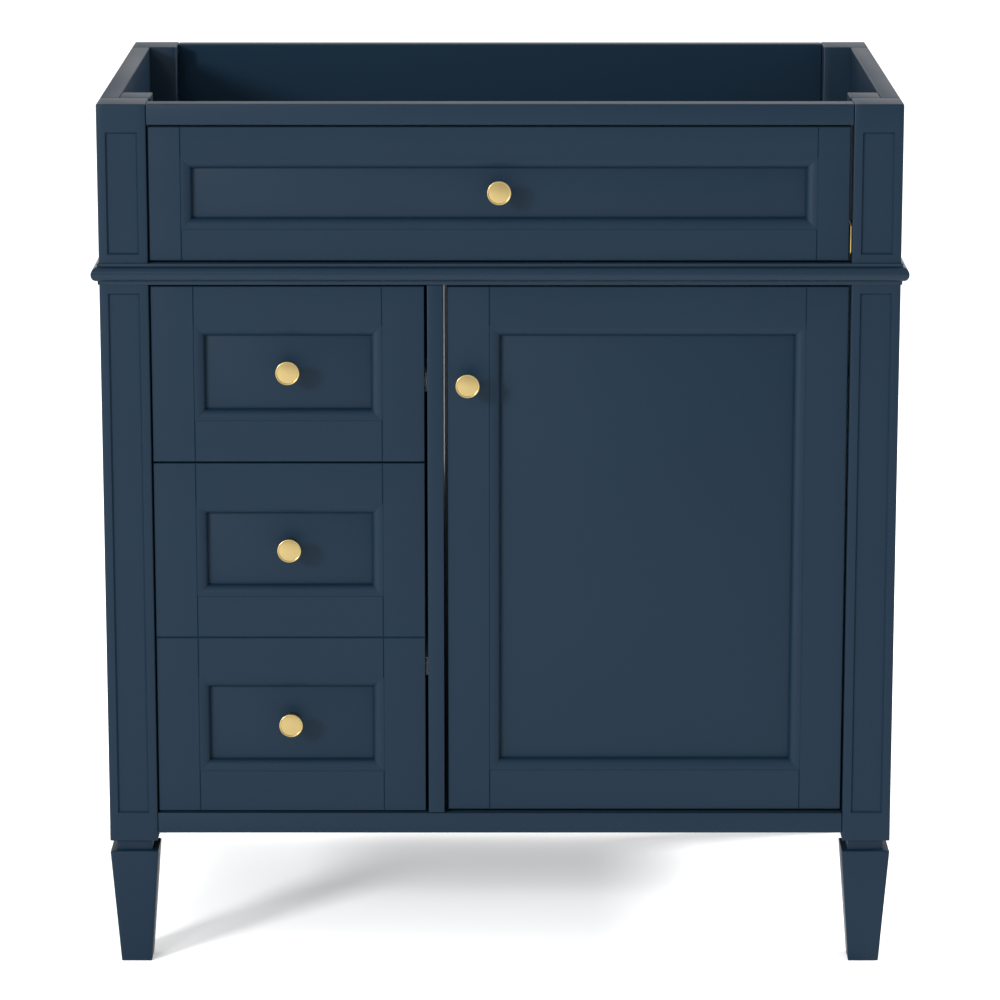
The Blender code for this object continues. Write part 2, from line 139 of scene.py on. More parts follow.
def satin_brass():
    """Turned brass, brushed round and lacquered: a warm pale gold with a soft ring-shaped sheen.

    The brush's lines are finer than can be seen, so they are drawn about 1 mm apart.
    """
    material, tree, shader = new_material("turned_satin_brass", Metallic=1.0, Roughness=0.29)
    shader.inputs["Base Color"].default_value = linear("#a18e60")
    rings = add_node(tree, "ShaderNodeUVMap", uv_map="turning")
    stretch = add_node(tree, "ShaderNodeMapping", {"Vector": rings.outputs["UV"], "Scale": (6.0, 900.0, 1.0)})
    lines = add_node(tree, "ShaderNodeTexNoise", {
        "Vector": stretch.outputs["Vector"], "Scale": 1.0, "Detail": 2.0})
    bump = add_node(tree, "ShaderNodeBump", {
        "Height": lines.outputs["Fac"], "Strength": 0.12, "Distance": 0.0002})
    tree.links.new(bump.outputs["Normal"], shader.inputs["Normal"])
    return material


def stamped_brass():
    """Brass-plated stamped steel: flat and fairly bright, with rolling lines 0.4 mm apart up its height."""
    material, tree, shader = new_material("stamped_plated_brass", Metallic=1.0, Roughness=0.36)
    shader.inputs["Base Color"].default_value = linear("#c2a866")
    place = add_node(tree, "ShaderNodeTexCoord").outputs["Object"]
    lay = add_node(tree, "ShaderNodeMapping", {"Vector": place, "Scale": (1.0, 1.0, 0.04)})
    lines = add_node(tree, "ShaderNodeTexNoise", {"Vector": lay.outputs["Vector"], "Scale": 2500.0})
    bump = add_node(tree, "ShaderNodeBump", {
        "Height": lines.outputs["Fac"], "Strength": 0.1, "Distance": 0.0002})
    tree.links.new(bump.outputs["Normal"], shader.inputs["Normal"])
    return material


def zinc_plate():
    """Zinc-plated pressed steel: a cool grey, with cloudy patches 8 mm across left by the plating bath."""
    material, tree, shader = new_material("zinc_plated_steel", Metallic=1.0)
    place = add_node(tree, "ShaderNodeTexCoord").outputs["Object"]
    cloud = add_node(tree, "ShaderNodeTexNoise", {"Vector": place, "Scale": 120.0, "Detail": 4.0})
    tint = add_node(tree, "ShaderNodeMix", {"Factor": cloud.outputs["Fac"]}, data_type="RGBA")
    tint.inputs["A"].default_value = linear("#b9bcbd")
    tint.inputs["B"].default_value = linear("#d3d5d4")
    tree.links.new(tint.outputs["Result"], shader.inputs["Base Color"])
    gloss = add_node(tree, "ShaderNodeMapRange", {
        "Value": cloud.outputs["Fac"], "To Min": 0.28, "To Max": 0.46})
    tree.links.new(gloss.outputs["Result"], shader.inputs["Roughness"])
    return material


def dipped_enamel():
    """White epoxy powder coat on the drawer slides: smooth, with waves 3 mm long where it flowed."""
    material, tree, shader = new_material("white_epoxy_coat", Roughness=0.32)
    shader.inputs["Base Color"].default_value = linear("#e6e6e0")
    place = add_node(tree, "ShaderNodeTexCoord").outputs["Object"]
    wave = add_node(tree, "ShaderNodeTexNoise", {"Vector": place, "Scale": 300.0})
    bump = add_node(tree, "ShaderNodeBump", {
        "Height": wave.outputs["Fac"], "Strength": 0.08, "Distance": 0.0003})
    tree.links.new(bump.outputs["Normal"], shader.inputs["Normal"])
    return material


def moulded_plastic():
    """Injection-moulded polypropylene: milky white and slightly waxy.

    The mould's grain is finer than can be seen, so it is drawn about 1 mm across.
    """
    material, tree, shader = new_material("moulded_polypropylene", Roughness=0.42)
    shader.inputs["Base Color"].default_value = linear("#e2e3df")
    shader.inputs["Subsurface Weight"].default_value = 0.05
    place = add_node(tree, "ShaderNodeTexCoord").outputs["Object"]
    grain = add_node(tree, "ShaderNodeTexNoise", {"Vector": place, "Scale": 900.0})
    bump = add_node(tree, "ShaderNodeBump", {
        "Height": grain.outputs["Fac"], "Strength": 0.15, "Distance": 0.0002})
    tree.links.new(bump.outputs["Normal"], shader.inputs["Normal"])
    return material


def birch(name, along):
    """Clear-lacquered birch: growth lines 3 to 6 mm apart run along the board, in broad bands of 30 mm."""
    material, tree, shader = new_material(name, Roughness=0.48)
    place = add_node(tree, "ShaderNodeTexCoord").outputs["Object"]
    stretch = {"x": (0.05, 1.0, 1.0), "y": (1.0, 0.05, 1.0), "z": (1.0, 1.0, 0.05)}[along]
    lay = add_node(tree, "ShaderNodeMapping", {"Vector": place, "Scale": stretch})
    grain = add_node(tree, "ShaderNodeTexNoise", {
        "Vector": lay.outputs["Vector"], "Scale": 170.0, "Detail": 5.0, "Distortion": 0.6})
    broad = add_node(tree, "ShaderNodeTexNoise", {
        "Vector": lay.outputs["Vector"], "Scale": 30.0, "Detail": 2.0})
    mixed = add_node(tree, "ShaderNodeMath", {
        0: grain.outputs["Fac"], 1: broad.outputs["Fac"]}, operation="ADD")
    ramp = add_node(tree, "ShaderNodeValToRGB", {"Fac": mixed.outputs["Value"]})
    ramp.color_ramp.elements[0].position = 0.75
    ramp.color_ramp.elements[0].color = linear("#b58f63")
    ramp.color_ramp.elements[1].position = 1.25
    ramp.color_ramp.elements[1].color = linear("#dcc19a")
    tree.links.new(ramp.outputs["Color"], shader.inputs["Base Color"])
    bump = add_node(tree, "ShaderNodeBump", {
        "Height": grain.outputs["Fac"], "Strength": 0.15, "Distance": 0.0003})
    tree.links.new(bump.outputs["Normal"], shader.inputs["Normal"])
    return material


def finished(node, ending, body, material, points, faces, smooth_angle=34, turning=None):
    """Put whole arrays of points and faces into a mesh, turned outwards, that stands for a node."""
    name = "%s_%s" % (node, ending)
    mesh = bpy.data.meshes.new(name)
    mesh.from_pydata(np.asarray(points).reshape(-1, 3).tolist(), [], [list(face) for face in faces])
    mesh.validate()
    mesh.calc_loop_triangles()
    corner, place = np.zeros(len(mesh.loop_triangles) * 3, int), np.zeros(len(mesh.vertices) * 3)
    mesh.loop_triangles.foreach_get("vertices", corner)
    mesh.vertices.foreach_get("co", place)
    a, b, c = place.reshape(-1, 3)[corner.reshape(-1, 3)].transpose(1, 0, 2)
    if np.einsum("ij,ij->", a, np.cross(b, c)) < 0:
        mesh.flip_normals()
    mesh.materials.append(material)
    if turning is not None:
        layer = mesh.uv_layers.new(name="turning")
        corners = np.zeros(len(mesh.loops), int)
        mesh.loops.foreach_get("vertex_index", corners)
        layer.data.foreach_set("uv", turning[corners].astype(np.float32).ravel())
    mesh.shade_smooth()
    mesh.set_sharp_from_angle(angle=math.radians(smooth_angle))
    thing = bpy.data.objects.new(name, mesh)
    bpy.context.scene.collection.objects.link(thing)
    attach(thing, body)
    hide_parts(node)


def folded(points, quads):
    """Split each quad that isn't flat, along the diagonal whose ends differ most in y, for crisp mitres."""
    corner = points[quads]
    bend = np.abs(np.einsum("ij,ij->i", np.cross(corner[:, 1] - corner[:, 0], corner[:, 2] - corner[:, 0]),
                            corner[:, 3] - corner[:, 0]))
    size = np.linalg.norm(corner[:, 2] - corner[:, 0], axis=1) ** 3
    bent = bend > 1e-4 * size
    across = np.abs(corner[:, 0, 1] - corner[:, 2, 1]) >= np.abs(corner[:, 1, 1] - corner[:, 3, 1])
    first, second = quads[bent & across], quads[bent & ~across]
    triangles = [first[:, [0, 1, 2]], first[:, [0, 2, 3]], second[:, [0, 1, 3]], second[:, [1, 2, 3]]]
    return quads[~bent].tolist() + np.concatenate(triangles).tolist()


def quad_strip(rows, columns, closed):
    """Quads of a grid of points numbered row by row; closed joins the last column to the first."""
    across = columns if closed else columns - 1
    row, column = np.meshgrid(np.arange(rows - 1), np.arange(across), indexing="ij")
    right = (column + 1) % columns
    near, far = row * columns, (row + 1) * columns
    return np.stack((near + column, near + right, far + right, far + column), -1).reshape(-1, 4)


def lofted(rings):
    """Skin stacked rings of points, in anticlockwise order seen from the far end, and close both ends."""
    rings = np.asarray(rings)
    rows, columns = rings.shape[:2]
    faces = folded(rings.reshape(-1, 3), quad_strip(rows, columns, True))
    faces.append(list(range(columns))[::-1])
    faces.append([(rows - 1) * columns + k for k in range(columns)])
    return rings.reshape(-1, 3), faces


def eased_rectangle(low, high, radius, extra=(), steps=ARC_STEPS):
    """Outline of a rectangle with rounded corners, anticlockwise; extra are shares of the low side's width.

    A corner point is the corner's centre plus radius times (cos a, sin a), a in even steps of a quarter turn.
    """
    turn = np.linspace(0, np.pi / 2, steps)
    centres = ((low[0] + radius, low[1] + radius, np.pi), (high[0] - radius, low[1] + radius, 1.5 * np.pi),
               (high[0] - radius, high[1] - radius, 0.0), (low[0] + radius, high[1] - radius, 0.5 * np.pi))
    sides = []
    for k, (cx, cy, start) in enumerate(centres):
        sides.append(np.stack([cx + radius * np.cos(start + turn), cy + radius * np.sin(start + turn)], -1))
        if k == 0 and len(extra):
            across = low[0] + np.asarray(extra) * (high[0] - low[0])
            sides.append(np.stack([across, np.full(len(extra), low[1])], -1))
    return np.concatenate(sides)


def eased_board(node, ease=EASE):
    """A board with all its edges eased: a rounded rectangle carried up the board.

    Near each end it draws in by r - sqrt(r^2 - (r - h)^2) at height h, so that the end's edges are round too.
    """
    low, high = [np.array(corner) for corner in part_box(node)]
    radius = min(ease, (high - low).min() * 0.3)
    turn = np.linspace(0, np.pi / 2, ARC_STEPS)
    rise, draw = radius * (1 - np.cos(turn)), radius * (1 - np.sin(turn))
    heights = np.concatenate([low[2] + rise, high[2] - rise[::-1]])
    inset = np.concatenate([draw, draw[::-1]])
    rings = []
    for z, step in zip(heights, inset):
        outline = eased_rectangle(low[:2] + step, high[:2] - step, max(radius - step, radius * 0.25))
        rings.append(np.column_stack([outline, np.full(len(outline), z)]))
    return lofted(rings)


def rounded(corners, steps=5):
    """Closed outline with a bend at each corner (u, v, radius): an arc that touches both straight runs.

    Its centre is on the corner's bisector, radius / sin(half the corner's angle) from the corner.
    """
    corners = np.asarray(corners, float)
    point, radius = corners[:, :2], corners[:, 2:]
    back, ahead = np.roll(point, 1, 0) - point, np.roll(point, -1, 0) - point
    back /= np.linalg.norm(back, axis=1, keepdims=True)
    ahead /= np.linalg.norm(ahead, axis=1, keepdims=True)
    half = np.arccos((back * ahead).sum(1, keepdims=True).clip(-1, 1)) / 2
    middle = back + ahead
    centre = point + middle / np.linalg.norm(middle, axis=1, keepdims=True) * radius / np.sin(half)
    start = point + back * radius / np.tan(half) - centre
    end = point + ahead * radius / np.tan(half) - centre
    sweep = (np.pi - 2 * half)[..., None]
    t = np.linspace(0, 1, steps)[None, :, None]
    arc = (np.sin((1 - t) * sweep) * start[:, None] + np.sin(t * sweep) * end[:, None]) / np.sin(sweep)
    return (centre[:, None] + arc).reshape(-1, 2)


def carried(outline, near, far, axis, ease=0.0003):
    """An outline carried straight along an axis.

    Near each end it draws in by r - sqrt(r^2 - (r - h)^2) at distance h, so that the end's edges are round.
    """
    u, v = outline.T
    along = np.roll(outline, -1, 0) - np.roll(outline, 1, 0)
    inward = np.column_stack([-along[:, 1], along[:, 0]]) / np.linalg.norm(along, axis=1, keepdims=True)
    inward *= np.sign((u * np.roll(v, -1) - v * np.roll(u, -1)).sum())
    turn = np.linspace(0, np.pi / 2, ARC_STEPS)
    rise, draw = ease * (1 - np.cos(turn)), ease * (1 - np.sin(turn))
    inset = np.concatenate([draw, draw[::-1]])[:, None, None]
    place = np.concatenate([near + rise, far - rise[::-1]])[:, None, None]
    flat = outline[None] + inset * inward[None]
    rings = np.concatenate([flat, np.broadcast_to(place, flat.shape[:2] + (1,))], 2)
    return lofted(rings[:, :, {"x": [2, 0, 1], "y": [0, 2, 1], "z": [0, 1, 2]}[axis]])


def slab(x_lines, z_lines, front, back, keep):
    """A closed panel between two depth maps over a grid of x and z lines, with walls round the kept cells."""
    x, z = np.meshgrid(x_lines, z_lines, indexing="ij")
    near = np.stack([x, front(x, z), z], -1)
    far = np.stack([x, back(x, z), z], -1)
    rows, columns = x.shape
    number = np.arange(rows * columns).reshape(rows, columns)
    a, b, c, d = number[:-1, :-1], number[1:, :-1], number[1:, 1:], number[:-1, 1:]
    middle_x = (x_lines[:-1] + x_lines[1:]) / 2
    middle_z = (z_lines[:-1] + z_lines[1:]) / 2
    kept = keep(*np.meshgrid(middle_x, middle_z, indexing="ij"))
    behind = rows * columns
    quads = [np.stack([a, b, c, d], -1)[kept], np.stack([a, d, c, b], -1)[kept] + behind]
    padded = np.pad(kept, 1)
    open_left = kept & ~padded[:-2, 1:-1]
    open_right = kept & ~padded[2:, 1:-1]
    open_low = kept & ~padded[1:-1, :-2]
    open_high = kept & ~padded[1:-1, 2:]
    quads.append(np.stack([a, d, d + behind, a + behind], -1)[open_left])
    quads.append(np.stack([b, b + behind, c + behind, c], -1)[open_right])
    quads.append(np.stack([a, a + behind, b + behind, b], -1)[open_low])
    quads.append(np.stack([d, c, c + behind, d + behind], -1)[open_high])
    quads = np.concatenate(quads)
    points = np.concatenate([near.reshape(-1, 3), far.reshape(-1, 3)])
    used, faces = np.unique(quads, return_inverse=True)
    return points[used], folded(points[used], faces.reshape(-1, 4))


def lines_near(edges, offsets, low, high):
    """Grid lines at given offsets from each edge, kept between low and high and not closer than 0.01 mm."""
    lines = np.concatenate([[low, high]] + [edge + np.asarray(offsets) for edge in edges])
    lines = np.unique(np.round(lines[(lines >= low) & (lines <= high)], 6))
    return lines[np.concatenate([[True], np.diff(lines) > 1e-5])]


# Lines across the sticking, spaced so that its curve turns evenly, and two at the edge of the rebate behind
TURN = np.linspace(0, np.pi / 2, 17)
STICKING_REACH = STICKING_WIDTH * np.sin(TURN) ** (2 / STICKING_POWER)
STICKING_LINES = np.concatenate([
    STICKING_REACH, [STICKING_WIDTH - PANEL_CLEARANCE - HAIR, STICKING_WIDTH - PANEL_CLEARANCE + HAIR]])


def framed_front(node, body, material, openings, split=None, bores=()):
    """Frame of a door or drawer front with mitred sticking round each opening.

    With t from 0 at the sticking's outer edge to 1 at the panel, its depth is
    lip + fall (1 - sqrt(1 - t^power)). Stiles run the full height, and a V shows where a rail meets
    them. Outer edges are eased by r - sqrt(r^2 - (r - d)^2) at distance d from the edge. Split is the
    height of a scored line. Bores are holes (x, z) in the back for hinge cups, and a cup's flange
    covers each one's edge.
    """
    low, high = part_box(node)
    face, rear = low.y, high.y
    x0, x1, z0, z1 = low.x, high.x, low.z, high.z
    ease = EASE * (1 - np.cos(np.linspace(0, np.pi / 2, ARC_STEPS + 1)))
    joints_x = [openings[0][0], openings[0][1]]
    inwards = np.concatenate([[-HAIR], STICKING_LINES])
    x_lines = np.concatenate([
        lines_near([x0], ease, x0, x1), lines_near([x1], -ease, x0, x1),
        lines_near(joints_x, [-JOINT_HALF, 0, JOINT_HALF], x0, x1),
        lines_near([joints_x[0]], inwards, x0, x1), lines_near([joints_x[1]], -inwards, x0, x1),
        np.linspace(x0, x1, 9)])
    z_parts = [lines_near([z0], ease, z0, z1), lines_near([z1], -ease, z0, z1), np.linspace(z0, z1, 9)]
    for _, _, bottom, top in openings:
        z_parts += [lines_near([bottom], inwards, z0, z1), lines_near([top], -inwards, z0, z1)]
    if split is not None:
        z_parts.append(lines_near([split], np.linspace(-SPLIT_HALF, SPLIT_HALF, 5), z0, z1))
    steps = np.linspace(-BORE_REACH, BORE_REACH, 32)
    x_lines = lines_near([0], np.concatenate([x_lines] + [bore[0] + steps for bore in bores[:1]]), x0, x1)
    z_lines = lines_near([0], np.concatenate(z_parts + [bore[1] + steps for bore in bores]), z0, z1)

    def inside(x, z, opening):
        """Distance inside an opening's sticking edge, negative on the flat of the frame."""
        left, right, bottom, top = opening
        return np.minimum(np.minimum(x - left, right - x), np.minimum(z - bottom, top - z))

    def eased(x, z):
        """Depth lost to the rounded outer edge."""
        edge = np.minimum(np.minimum(x - x0, x1 - x), np.minimum(z - z0, z1 - z)).clip(0, EASE)
        return EASE - np.sqrt(EASE ** 2 - (EASE - edge) ** 2)

    def front(x, z):
        depth = eased(x, z)
        reach = np.max([inside(x, z, opening) for opening in openings], axis=0)
        for joint in joints_x:
            vee = JOINT_DEPTH * (1 - np.abs(x - joint) / JOINT_HALF).clip(0, 1)
            depth = np.maximum(depth, np.where(reach < -1e-6, vee, 0))
        if split is not None:
            depth = np.maximum(depth, SPLIT_DEPTH * (1 - np.abs(z - split) / SPLIT_HALF).clip(0, 1))
        t = (reach / STICKING_WIDTH).clip(0, 1)
        sticking = STICKING_LIP + STICKING_FALL * (1 - np.sqrt((1 - t ** STICKING_POWER).clip(0, 1)))
        return face + np.where(reach >= -1e-6, sticking, depth)

    def back(x, z):
        reach = np.max([inside(x, z, opening) for opening in openings], axis=0)
        over_panel = reach > STICKING_WIDTH - PANEL_CLEARANCE
        depth = np.where(over_panel, face + PANEL_DEPTH + 0.0001, rear - eased(x, z))
        for across, up in bores:
            depth = np.where(np.hypot(x - across, z - up) < BORE_RADIUS, rear - BORE_DEPTH, depth)
        return depth

    def keep(x, z):
        return np.max([inside(x, z, opening) for opening in openings], axis=0) < STICKING_WIDTH - 1e-6

    points, faces = slab(x_lines, z_lines, front, back, keep)
    finished(node, "front", body, material, points, faces, 12)


def corner_post(node, material, recesses=()):
    """A square post on its own tapered foot: a rounded rectangle carried up through foot, neck and post.

    On the front, inside each recess, the face sinks by depth * min(e / bevel, 1), e being the distance
    inside the recess's edge.
    """
    low, high = [np.array(corner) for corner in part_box(node)]
    width, depth = high[0] - low[0], high[1] - low[1]
    foot_x, foot_y = (width - FOOT_SIDE) / 2, (depth - FOOT_SIDE) / 2
    turn = np.linspace(0, np.pi / 2, ARC_STEPS)
    out, up = EASE * (1 - np.sin(turn)), EASE * (1 - np.cos(turn))
    rings = []

    def add(z, inset_x, inset_y, extra=0.0):
        rings.append((z, inset_x + extra, inset_y + extra))

    for k in range(ARC_STEPS):
        add(up[k], foot_x, foot_y, out[k])
    for k in range(ARC_STEPS)[::-1]:
        add(NECK_BOTTOM - up[k], 0, 0, out[k])
    for z in (NECK_BOTTOM + 0.00005, NECK_TOP - 0.00005):
        add(z, NECK_INSET, NECK_INSET)
    for k in range(ARC_STEPS):
        add(NECK_TOP + up[k], 0, 0, out[k])
    marks = [NECK_TOP + EASE + 0.001]
    for bottom, top in recesses:
        marks += [bottom, bottom + RECESS_BEVEL, bottom + 2 * RECESS_BEVEL, top - 2 * RECESS_BEVEL,
                  top - RECESS_BEVEL, top]
    for z in sorted(marks):
        add(z, 0, 0)
    for k in range(ARC_STEPS)[::-1]:
        add(high[2] - up[k], 0, 0, out[k])
    offsets = (RECESS_MARGIN + RECESS_BEVEL * np.arange(3)) / width
    extra = np.concatenate([offsets, 1 - offsets[::-1]])
    stack = []
    for z, inset_x, inset_y in rings:
        inset = np.array([inset_x, inset_y])
        outline = eased_rectangle(low[:2] + inset, high[:2] - inset, EASE, extra)
        for bottom, top in recesses:
            side = np.minimum(outline[:, 0] - low[0], high[0] - outline[:, 0]) - RECESS_MARGIN
            e = np.minimum(side, min(z - bottom, top - z)).clip(0, RECESS_BEVEL)
            on_front = outline[:, 1] < low[1] + 1e-6
            outline[:, 1] += np.where(on_front, RECESS_DEPTH * e / RECESS_BEVEL, 0)
        stack.append(np.column_stack([outline, np.full(len(outline), z)]))
    points, faces = lofted(stack)
    finished(node, "turned", "carcass", material, points, faces, 31)


def bead_section(low, high):
    """Waist moulding's section as (reach, height): a half-round bead between two low fillets.

    The bead is an upright half ellipse, 6 mm deep and 13.6 mm high: reach = 1 mm + 6 mm cos a,
    height = middle + 6.8 mm sin a. The fillets' outer corners are rounded over 0.3 mm.
    """
    bead = np.linspace(-np.pi / 2, np.pi / 2, 33)
    lower = [(FIT, low), (0.0007, low), (0.0009, low + 0.0001), (0.0010, low + 0.0003)]
    round_ = np.column_stack([0.0010 + 0.0060 * np.cos(bead), low + 0.0103 + 0.0068 * np.sin(bead)])
    upper = [(0.0011, low + 0.0173), (0.0014, low + 0.0176), (0.0014, high - 0.0003), (0.0013, high - 0.0001),
             (0.0011, high), (FIT, high)]
    return np.concatenate([lower, round_, upper])


def waist_moulding(material):
    """The moulding's section carried along the front and both sides, with a fine gap at the mitres."""
    low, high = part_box("waist_moulding_front")
    reach, z = bead_section(low.z, high.z).T
    end, mitre = HALF_WIDTH + reach + FIT, 0.00025
    left = np.column_stack([-(end - mitre), high.y - reach, z])
    right = np.column_stack([end - mitre, high.y - reach, z])
    points, faces = lofted([left[::-1], right[::-1]])
    finished("waist_moulding_front", "run", "carcass", material, points, faces, 25)
    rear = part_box("waist_moulding_left")[1].y
    for side, word in ((-1, "left"), (1, "right")):
        near = np.column_stack([side * end, high.y - reach + mitre, z])
        far = near.copy()
        far[:, 1] = rear
        ends = [near, far] if side > 0 else [near[::-1], far[::-1]]
        points, faces = lofted(ends)
        finished("waist_moulding_" + word, "return", "carcass", material, points, faces, 25)


def turned_profile():
    """Knob from its face to its foot as (radius, height): dome, raised rim, cushion, waist, flared foot.

    The dome is height = 23.2 mm - 0.65 mm (r / 9.8 mm)^2, and the rim's section is an arc of 0.85 mm
    in radius. The cushion draws in by 6.3 mm sin a over a quarter turn while its height falls by
    5.7 mm t^1.6, and the waist flares by 2.4 mm t^2.2. All radii are then taken at 0.985 of that.
    """
    r = np.linspace(0, 0.0098, 10)
    face = np.column_stack([r, 0.0232 - 0.00065 * (r / 0.0098) ** 2])
    turn = np.linspace(0.85 * np.pi, -0.4 * np.pi, 19)
    rim = np.column_stack([0.01065 + 0.00085 * np.cos(turn), 0.02235 + 0.00085 * np.sin(turn)])
    side = [(0.0110, 0.0210), (0.0110, 0.0204), (0.0109, 0.0197)]
    t = np.linspace(0, 1, 9)[1:]
    cushion = np.column_stack([0.0109 - 0.0063 * np.sin(t * np.pi / 2), 0.0197 - 0.0057 * t ** 1.6])
    t = np.linspace(0, 1, 8)[1:]
    waist = np.column_stack([0.0046 + 0.0024 * t ** 2.2, 0.0135 - 0.0119 * t])
    foot = [(0.0072, 0.0012), (0.0072, 0.0), (0, 0)]
    return np.concatenate([face, rim, side, cushion, waist, foot]) * (0.985, 1)


def revolved(node, ending, body, material, profile, foot, way):
    """A profile turned about the node's own axis: x = r cos a, z = r sin a, y = foot + way * height.

    Its two end points lie on the axis, and flat caps stand for them. The UV map "turning" holds the
    share of a turn and the distance along the profile in metres.
    """
    low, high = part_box(node)
    cx, cz = (low.x + high.x) / 2, (low.z + high.z) / 2
    shown = profile[1:-1]
    radius, height = shown.T
    angle = np.linspace(0, 2 * np.pi, 96, endpoint=False)
    y = np.broadcast_to((foot + way * height)[:, None], (len(shown), len(angle)))
    rings = np.stack([cx + np.outer(radius, np.cos(angle)), y, cz + np.outer(radius, np.sin(angle))], -1)
    points, faces = lofted(rings)
    along = np.concatenate([[0], np.cumsum(np.hypot(*np.diff(shown, axis=0).T))])
    turning = np.stack(np.broadcast_arrays(angle[None, :] / (2 * np.pi), along[:, None]), -1).reshape(-1, 2)
    finished(node, ending, body, material, points, faces, 40, turning)


def cup_profile():
    """Hinge cup as (radius, height), from its floor's middle to its underside's middle.

    Each corner has its bend's radius, and of the two on the axis only the point next to the run is kept.
    """
    corners = [(0, 0.0015 - CUP_DEPTH, 1e-6), (0.0118, 0.0015 - CUP_DEPTH, 0.0015), (0.0118, 0.0014, 0.0004),
               (0.0155, 0.0014, 0.0006), (0.0155, 0.0, 0.0004), (0.0130, 0.0, 0.0004),
               (0.0130, -CUP_DEPTH, 0.0015), (0, -CUP_DEPTH, 1e-6)]
    bend_points = 6
    return rounded(corners, bend_points)[bend_points - 1:1 - bend_points]


def tray(node, body, material):
    """A moulded bin: rounded rectangles that follow its wall up the outside, over the rim and down inside.

    The bottom edge is an arc of 2 mm, the rim is half round with a radius of 1 mm, and inside, the wall
    turns into the floor along an arc of 4 mm. The back wall leans out from 36 mm behind the front wall.
    """
    low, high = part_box(node)
    turn = np.linspace(0, np.pi / 2, 6)
    over = np.linspace(0, np.pi, 9)
    inset = np.concatenate([
        0.002 - 0.002 * np.sin(turn), 0.001 - 0.001 * np.cos(over), 0.006 - 0.004 * np.cos(turn)])
    height = np.concatenate([
        low.z + 0.002 - 0.002 * np.cos(turn), high.z - 0.001 + 0.001 * np.sin(over),
        low.z + 0.006 - 0.004 * np.sin(turn)])
    rings = []
    for s, z in zip(inset, height):
        rear = low.y + 0.036 + (high.y - low.y - 0.036) * (z - low.z) / (high.z - low.z)
        corner = max(0.007 - s, 0.002)
        outline = eased_rectangle((low.x + s, low.y + s), (high.x - s, rear - s), corner, steps=8)
        rings.append(np.column_stack([outline, np.full(len(outline), z)]))
    points, faces = lofted(rings)
    finished(node, "moulded", body, material, points, faces, 40)


def section_of(node):
    """Section of a bent or stamped part: corners (u, v, bend's radius) and the axis it is carried along."""
    low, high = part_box(node)
    way = -1 if node.endswith("right") else 1
    wall = low.x if way > 0 else high.x
    if "channel" in node:
        metal, reach = 0.0012, wall + way * 0.0094
        return [(wall, low.z, 0.0016), (wall, high.z, 0.0016), (reach, high.z, 0.0004),
                (reach, high.z - metal, 0.0004), (wall + way * metal, high.z - metal, 0.0004),
                (wall + way * metal, low.z + metal, 0.0004), (reach, low.z + metal, 0.0004),
                (reach, low.z, 0.0004)], "y"
    if "runner" in node:
        step, flange, tip = 0.002, wall + way * 0.0088, wall + way * 0.0104
        return [(wall, low.z + step, 0.0012), (wall, high.z - step, 0.0012), (flange, high.z - step, 0.0004),
                (flange, high.z, 0.0004), (tip, high.z, 0.0004), (tip, low.z, 0.0004),
                (flange, low.z, 0.0004), (flange, low.z + step, 0.0004)], "y"
    if "bracket" in node:
        metal, reach = 0.0015, wall + way * 0.020
        return [(wall, low.y, 0.002), (wall, high.y, 0.0005), (wall + way * metal, high.y, 0.0005),
                (wall + way * metal, low.y + metal, 0.0005), (reach, low.y + metal, 0.0005),
                (reach, low.y, 0.0005)], "z"
    if "arm" in node:
        neck = low.y + 0.0185
        return [(high.x, neck, 0.003), (high.x, high.y, 0.0008), (high.x - 0.002, high.y, 0.0008),
                (high.x - 0.002, high.y - 0.007, 0.0015), (low.x + 0.013, high.y - 0.011, 0.004),
                (low.x, low.y + 0.0095, 0.003), (low.x, low.y, 0.0015), (low.x + 0.011, low.y, 0.002),
                (low.x + 0.019, neck, 0.003)], "z"
    return [(low.y, low.z, 0.003), (high.y, low.z, 0.003), (high.y, high.z, 0.003),
            (low.y, high.z, 0.003)], "x"


def board(node, body, material, ending="board", ease=EASE):
    """A flat board or panel with eased edges, over the whole of its node."""
    points, faces = eased_board(node, ease)
    finished(node, ending, body, material, points, faces)


def metalwork(node, body, material, ending, ease=0.0003):
    """A part bent or stamped from sheet: its section carried over the whole length of its node."""
    low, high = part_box(node)
    corners, axis = section_of(node)
    points, faces = carried(rounded(corners), getattr(low, axis), getattr(high, axis), axis, ease)
    finished(node, ending, body, material, points, faces)


def back_panel(material):
    """The back, cut away behind the door for the pipes from its top edge down, which leaves a U."""
    low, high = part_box("back_panel")
    corners = [(low.x, low.z), (high.x, low.z), (high.x, high.z), (PIPE_OPENING_RIGHT, high.z),
               (PIPE_OPENING_RIGHT, PIPE_OPENING_BOTTOM), (PIPE_OPENING_LEFT, PIPE_OPENING_BOTTOM),
               (PIPE_OPENING_LEFT, high.z), (low.x, high.z)]
    outline = rounded([corner + (EASE,) for corner in corners])
    points, faces = carried(outline, low.y, high.y, "y", 0.0008)
    finished("back_panel", "board", "carcass", material, points, faces)


def floor_panel(material):
    """The floor, notched round the four posts; its left half mirrors its right half."""
    low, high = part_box("floor_panel")
    front_post, rear_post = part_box("post_front_right"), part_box("post_rear_right")
    inner, outer = front_post[0].x - FIT, high.x
    front_notch, rear_notch = front_post[1].y + FIT, rear_post[0].y - FIT
    half = np.array([(inner, low.y), (inner, front_notch), (outer, front_notch), (outer, rear_notch),
                     (rear_post[0].x - FIT, rear_notch), (rear_post[0].x - FIT, high.y)])
    outline = np.concatenate([half, half[::-1] * (-1, 1)])
    bends = np.full(len(outline), 0.0006)
    points, faces = carried(rounded(np.column_stack([outline, bends])), low.z, high.z, "z", 0.0005)
    finished("floor_panel", "board", "carcass", material, points, faces)


